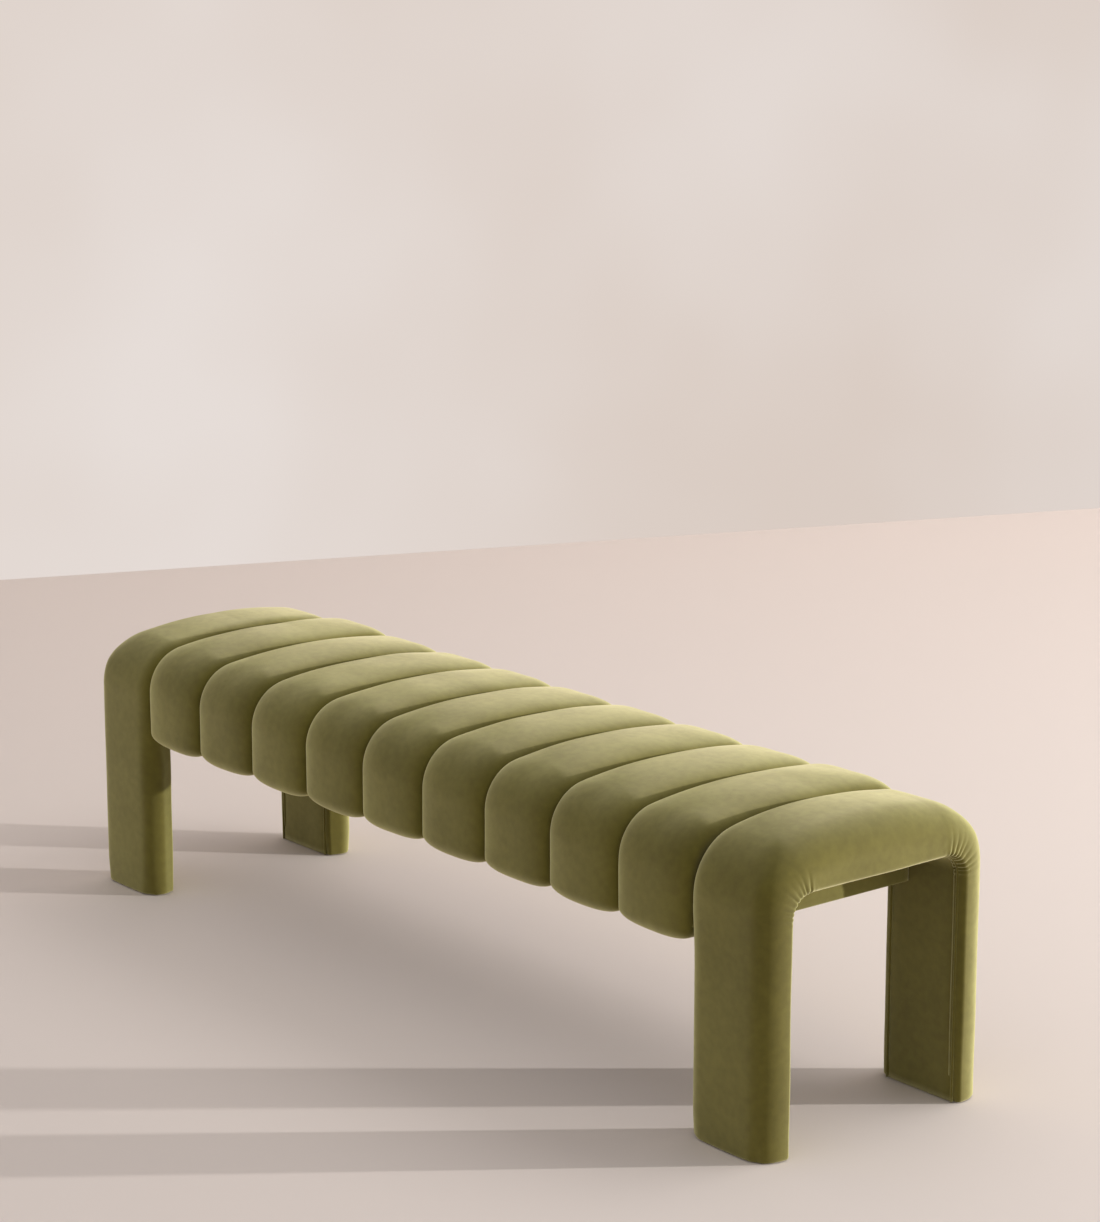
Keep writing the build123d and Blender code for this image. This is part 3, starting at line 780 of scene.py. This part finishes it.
def padded_face(seat_corner, end_corner, count):
    # Places across the face, from the seat side to the end, and how far each draws in
    turns = np.linspace(0, math.pi / 2, 400)
    seat_x = seat_side_inset - arch_half_width + seat_corner[0] * (1 - np.cos(turns))
    end_x = arch_half_width - end_corner[0] * (1 - np.sin(turns))
    middle_x = np.linspace(seat_x[-1], end_x[0], 102)[1:-1]
    x = np.concatenate([seat_x, middle_x, end_x])
    drop = np.concatenate([
        seat_corner[1] * (1 - np.sin(turns)), np.zeros(100), end_corner[1] * (1 - np.cos(turns)),
    ])
    drop += face_dome * (x / arch_half_width) ** 2
    run = np.concatenate([[0], np.cumsum(np.hypot(np.diff(x), np.diff(drop)))])
    even = np.linspace(0, run[-1], count + 1)
    return np.interp(even, run, x), np.interp(even, run, drop)


def seam_edge(edge, width, depth, inner, inner_way):
    # From the seam by the opening out to the flank of the leg
    turns = np.linspace(0, math.pi / 2, edge_columns + 1)[:, None]
    x = edge - math.copysign(width, edge) * (1 - np.sin(turns))
    return np.column_stack([x, inner[None] - inner_way[None] * depth * (1 - np.cos(turns))])


leg_face = padded_face(leg_seat_corner, leg_corner, arch_columns)
shoulder_face = padded_face(top_seat_corner, leg_corner, arch_columns)
top_face = padded_face(top_seat_corner, top_corner, arch_columns)


def arch_section(outer, outer_way, inner, inner_way):
    # One ring of the cover, from seam to seam round the outside of the leg
    beside = np.clip((outer[1] - beside_roll_low) / beside_roll_run, 0, 1)
    over = np.clip((outer[1] - top_low) / top_run, 0, 1)
    over = over * over * (3 - 2 * over)
    x_face, drop_face = (
        (1 - beside) * leg + (beside - over) * shoulder + over * top
        for leg, shoulder, top in zip(leg_face, shoulder_face, top_face)
    )
    crown = np.column_stack([x_face, outer[None] - outer_way[None] * drop_face[:, None]])
    end_edge = seam_edge(arch_half_width, *end_seam, inner, inner_way)
    seat_edge = seam_edge(seat_seam_inset - arch_half_width, *seat_seam, inner, inner_way)
    share = (np.arange(1, flank_columns) / flank_columns)[:, None]
    end_flank = end_edge[-1] * (1 - share) + crown[-1] * share
    seat_flank = crown[0] * (1 - share) + seat_edge[-1] * share
    return np.concatenate([end_edge, end_flank, crown[::-1], seat_flank, seat_edge[::-1]])


cap_half_width = 0.0572
cap_inner = 0.1555
cap_outer = 0.1942
leg_turn_angles = (90, 67, 45, 22)


def towards_cap(section):
    # The nearest places on the leg cap, the way there, and how far off a corner lies
    nearest = np.column_stack([
        np.clip(section[:, 0], -cap_half_width, cap_half_width),
        np.copysign(np.clip(abs(section[:, 1]), cap_inner, cap_outer), section[:, 1]),
    ])
    gap = nearest - section[:, :2]
    reach = np.maximum(np.linalg.norm(gap, axis=1, keepdims=True), 1e-6)
    return nearest, gap, reach, 2 * abs(gap[:, :1] * gap[:, 1:]) / reach**2


def turned_under(section, angle):
    # The ring drawn in towards the leg cap, as the velvet turns under the leg
    _, gap, reach, slant = towards_cap(section)
    drawn = leg_round * (1 - math.cos(angle)) * (0.45 + 1.1 * slant)
    ring = section.copy()
    ring[:, :2] += gap * np.minimum(1, drawn / reach)
    ring[:, 2] = foot_level + leg_round * (1 - math.sin(angle))
    return ring


def tucked_corner(section):
    # The outer corners pulled in a little over the last few centimetres above the floor
    rise = np.clip(1 - (section[:, 2:] - foot_level) / corner_tuck_height, 0, 1) ** 2
    _, gap, reach, slant = towards_cap(section)
    tucked = section.copy()
    tucked[:, :2] += gap * np.minimum(0.7, corner_tuck * rise * slant / reach)
    return tucked


def leg_bottom_rings(section):
    # From the edge of the cap, under the leg and round to its first upright ring
    rings = [turned_under(section, angle) for angle in np.radians(leg_turn_angles)]
    flange = rings[0].copy()
    flange[:, :2] = towards_cap(flange)[0]
    return [flange] + rings


def pleats(points, out, seed):
    # Short gathers fanned round the inner corners of the opening
    draw = np.random.default_rng(seed)
    swing = np.zeros(len(points))
    for facing in (-1, 1):
        across_y = facing * points[:, 1] - inner_corner
        up_z = points[:, 2] - inner_start
        radius = np.hypot(across_y, up_z)
        angle = np.degrees(np.arctan2(up_z, across_y))
        bends = np.sort(draw.uniform(-0.18, 0.18, pleat_count + 1) + np.arange(pleat_count + 1))
        turn = angle - pleat_start
        place = np.interp(
            turn / pleat_sweep * pleat_count, bends, np.arange(pleat_count + 1))
        fold = np.abs(np.sin(math.pi * place)) ** 0.7 - 0.55
        heights = draw.uniform(0.6, 1.25, pleat_count + 2)
        tall = np.interp(place, np.arange(pleat_count + 2), heights)
        near = np.exp(-(np.maximum(radius - opening_corner_radius, 0) / pleat_reach) ** 1.6)
        inside = (np.clip(turn / pleat_fade, 0, 1)
                  * np.clip((pleat_start + pleat_sweep - angle) / pleat_fade, 0, 1))
        swing += pleat_depth * fold * tall * near * inside
    return points + out * swing[:, None]


for number, (end, way) in enumerate(ends.items()):
    low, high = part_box(f"{end}_arch_cover")
    middle = (low.x + high.x) / 2
    sections = [
        tucked_corner(arch_section(outer, outer_way, inner, inner_way))
        for outer, outer_way, inner, inner_way in zip(
            outer_line, outer_out, inner_line, inner_out)
    ]
    front = leg_bottom_rings(sections[0])
    back = leg_bottom_rings(sections[-1])
    grid = np.array(front + sections + back[::-1])
    grid[:, :, 0] = middle + way * grid[:, :, 0]
    piece = skin(f"velvet_arch_{end}", grid[:, ::-way], velvet)
    index = np.arange(grid.shape[0] * grid.shape[1]).reshape(grid.shape[:2])
    held = np.concatenate([
        index[:, :2].ravel(), index[:, -2:].ravel(),
        index[:len(front)].ravel(), index[-len(back):].ravel(),
    ])
    stuff(piece, np.unique(held), arch_stuffing_reach, grid.shape[0])
    smoothed(piece)
    points = coordinates(piece.data)
    away = np.clip((points[:, 2] - foot_level - leg_round) / 0.03, 0, 1)
    swing = unevenness(points, arch_seed + number, arch_unevenness) * away
    place_verts(piece, points + normals(piece.data) * swing[:, None])
    points = coordinates(piece.data)
    points[:, 2] += crown_lie(end, points[:, 1], points[:, 2])
    shifted = points - (middle, 0, 0)
    gathered = pleats(shifted, normals(piece.data), pleat_seed + number)
    place_verts(piece, gathered + (middle, 0, 0))
    thickened(piece, velvet_thickness)
    settle(piece, "velvet", f"{end}_arch_cover")

# Inner panels: a strip of velvet over thin board, bent round the inside of each opening between
# the two pipings and stapled to the posts.
panel_thickness = 0.004
panel_step = 0.004
panel_long_step = 0.01
panel_edge_sink = 0.0016
opening_line, opening_out = join(
    straight((-opening_half, foot_level), (-opening_half, inner_start), (-1, 0), panel_long_step),
    arc((-inner_corner, inner_start), opening_corner_radius, 180, -90, panel_step),
    straight(
        (-inner_corner, opening_height), (inner_corner, opening_height), (0, 1), panel_long_step),
    arc((inner_corner, inner_start), opening_corner_radius, 90, -90, panel_step),
    straight((opening_half, inner_start), (opening_half, foot_level), (1, 0), panel_long_step),
)
for end, way in ends.items():
    low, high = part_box(f"{end}_inner_panel")
    middle = (low.x + high.x) / 2 + way * seat_seam_inset / 2
    half = (high.x - low.x - seat_seam_inset) / 2
    face_x = half * np.sin(np.linspace(-math.pi / 2, math.pi / 2, 17))
    sink = panel_edge_sink * abs(face_x / half) ** 8
    ring_x = np.concatenate([face_x, [half, -half]])
    depth = np.concatenate([sink, [panel_thickness, panel_thickness]])
    rings = np.array([
        np.column_stack([middle + ring_x, point[None] + out[None] * depth[:, None]])
        for point, out in zip(opening_line, opening_out)
    ])
    piece = swept_block(f"velvet_lining_{end}", rings, velvet)
    settle(piece, "velvet", f"{end}_inner_panel")

# Piping: cord wrapped in a bias strip of the same velvet, sewn in along both edges of each
# inner panel.
piping_radius = 0.0019
piping_offset = 0.0648
piping_sink = 0.0008
piping_sides = 12
for end, way in ends.items():
    low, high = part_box(f"{end}_piping")
    middle = (low.x + high.x) / 2
    turns = np.linspace(0, 2 * math.pi, piping_sides, endpoint=False)
    verts, polys = [], []
    for side in (-1, 1):
        line_x = middle + side * piping_offset
        if side != way:
            line_x += way * seat_seam_inset
        start = len(verts)
        for point, out in zip(opening_line, opening_out):
            for turn in turns:
                deep = piping_sink + piping_radius * math.sin(turn)
                verts.append((
                    line_x + piping_radius * math.cos(turn),
                    point[0] + out[0] * deep, point[1] + out[1] * deep,
                ))
        count = len(opening_line)
        for i in range(count - 1):
            for j in range(piping_sides):
                k = (j + 1) % piping_sides
                polys.append((
                    start + i * piping_sides + j, start + i * piping_sides + k,
                    start + (i + 1) * piping_sides + k, start + (i + 1) * piping_sides + j,
                ))
        polys.append(tuple(start + j for j in reversed(range(piping_sides))))
        polys.append(tuple(start + (count - 1) * piping_sides + j for j in range(piping_sides)))
    piece = new_piece(f"velvet_piping_{end}", verts, polys, velvet)
    settle(piece, "velvet", f"{end}_piping")

# Studio: a plain pale floor, a pale wall that the camera sees as a glow in painted patches of
# light and shade, a small lamp low behind the right end, a broad soft one above the back, an
# even sky, and the camera where the photograph was taken from.
camera_place = (3.6565, -2.8699, 1.6143)
camera_pitch = 12.7834
camera_azimuth = 50.9386
camera_lens = 96.18
floor_half = 12
wall_left = (-2.93, 0.823)
wall_right = (-1.907, 3.483)
wall_height = 5

camera = bpy.data.objects.new("camera", bpy.data.cameras.new("camera"))
bpy.context.scene.collection.objects.link(camera)
camera.location = camera_place
camera.rotation_euler = (math.radians(90 - camera_pitch), 0, math.radians(camera_azimuth))
camera.data.lens = camera_lens
camera.data.sensor_width = 36
camera.data.sensor_fit = "AUTO"
bpy.context.scene.camera = camera


def plaster(name, colour, roughness):
    material = bpy.data.materials.new(name)
    material.use_nodes = True
    shader = material.node_tree.nodes["Principled BSDF"]
    shader.inputs["Base Color"].default_value = (*colour, 1)
    shader.inputs["Roughness"].default_value = roughness
    shader.inputs["Specular IOR Level"].default_value = 0.2
    return material


floor_paint = plaster("pale_floor", (0.775, 0.69, 0.645), 0.7)
floor = new_piece(
    "studio_floor",
    [(x * floor_half, y * floor_half, 0) for x, y in ((-1, -1), (1, -1), (1, 1), (-1, 1))],
    [(0, 1, 2, 3)], floor_paint, smooth=False,
)


def seen_directly(tree):
    # One for camera, glossy and transmission rays, so that the backdrop shows in a colour of its
    # own, which on the wall is a glow with painted light and shade
    ray = tree.nodes.new("ShaderNodeLightPath")
    first = tree.nodes.new("ShaderNodeMath")
    first.operation = "MAXIMUM"
    tree.links.new(ray.outputs["Is Camera Ray"], first.inputs[0])
    tree.links.new(ray.outputs["Is Glossy Ray"], first.inputs[1])
    second = tree.nodes.new("ShaderNodeMath")
    second.operation = "MAXIMUM"
    tree.links.new(first.outputs["Value"], second.inputs[0])
    tree.links.new(ray.outputs["Is Transmission Ray"], second.inputs[1])
    return second.outputs["Value"]


def add_shader_mix(tree, factor, first, second):
    mix = tree.nodes.new("ShaderNodeMixShader")
    tree.links.new(factor, mix.inputs["Fac"])
    tree.links.new(first, mix.inputs[1])
    tree.links.new(second, mix.inputs[2])
    return mix.outputs["Shader"]


wall_paint = plaster("pale_wall", (0.72, 0.65, 0.61), 0.8)
wall_tree = wall_paint.node_tree
# The wall shows to the camera as a glow in soft painted patches of light and shade.
wall_place = wall_tree.nodes.new("ShaderNodeTexCoord")
painted_light_patches = add_noise(wall_tree, wall_place.outputs["Object"], 0.55, 3.0)
painted_light_tone = add_range(wall_tree, painted_light_patches, 0.35, 0.65)
shade = wall_tree.nodes.new("ShaderNodeRGB")
shade.outputs["Color"].default_value = (0.70, 0.605, 0.545, 1)
light = wall_tree.nodes.new("ShaderNodeRGB")
light.outputs["Color"].default_value = (0.79, 0.722, 0.685, 1)
wall_glow = wall_tree.nodes.new("ShaderNodeEmission")
wall_tree.links.new(
    add_mix(wall_tree, painted_light_tone, shade.outputs["Color"], light.outputs["Color"]),
    wall_glow.inputs["Color"],
)
wall_front = add_shader_mix(
    wall_tree, seen_directly(wall_tree), wall_tree.nodes["Principled BSDF"].outputs["BSDF"],
    wall_glow.outputs["Emission"],
)
seen_from_behind = wall_tree.nodes.new("ShaderNodeNewGeometry")
clear = wall_tree.nodes.new("ShaderNodeBsdfTransparent")
wall_tree.links.new(
    add_shader_mix(
        wall_tree, seen_from_behind.outputs["Backfacing"], wall_front, clear.outputs["BSDF"]),
    wall_tree.nodes["Material Output"].inputs["Surface"],
)
reach = np.array(wall_right) - np.array(wall_left)
far_left = np.array(wall_left) - reach * 2
far_right = np.array(wall_right) + reach * 2
wall = new_piece(
    "studio_wall",
    [(*far_left, 0), (*far_right, 0), (*far_right, wall_height), (*far_left, wall_height)],
    [(0, 1, 2, 3)], wall_paint, smooth=False,
)
wall.visible_shadow = False

lamp_colour = (1.0, 0.99, 0.975)


def hang_lamp(name, size, energy, place):
    lamp = bpy.data.objects.new(name, bpy.data.lights.new(name, "AREA"))
    bpy.context.scene.collection.objects.link(lamp)
    lamp.data.shape = "DISK"
    lamp.data.size = size
    lamp.data.energy = energy
    lamp.data.color = lamp_colour
    lamp.location = place
    lamp.visible_camera = False
    return lamp


key_place = (5.8, 6.55, 1.72)
key = hang_lamp("key_lamp", 0.16, 740, key_place)
aim = np.array((0.0, 0.0, 0.3)) - np.array(key.location)
key.rotation_euler = (
    math.pi / 2 - math.atan2(-aim[2], math.hypot(aim[0], aim[1])), 0,
    math.atan2(aim[1], aim[0]) - math.pi / 2,
)
hang_lamp("ceiling_lamp", 2.8, 50, (1.6, 2.4, 3.6))

world = bpy.data.worlds.new("soft_sky")
bpy.context.scene.world = world
world.use_nodes = True
sky_tree = world.node_tree
sky = sky_tree.nodes["Background"]
sky.inputs["Color"].default_value = (1.0, 0.99, 0.98, 1)
sky.inputs["Strength"].default_value = 0.54
backdrop = sky_tree.nodes.new("ShaderNodeBackground")
backdrop.inputs["Color"].default_value = (0.78, 0.71, 0.67, 1)
backdrop.inputs["Strength"].default_value = 1.0
sky_tree.links.new(
    add_shader_mix(
        sky_tree, seen_directly(sky_tree), sky.outputs["Background"],
        backdrop.outputs["Background"]),
    sky_tree.nodes["World Output"].inputs["Surface"],
)
bpy.context.scene.view_settings.view_transform = "Standard"
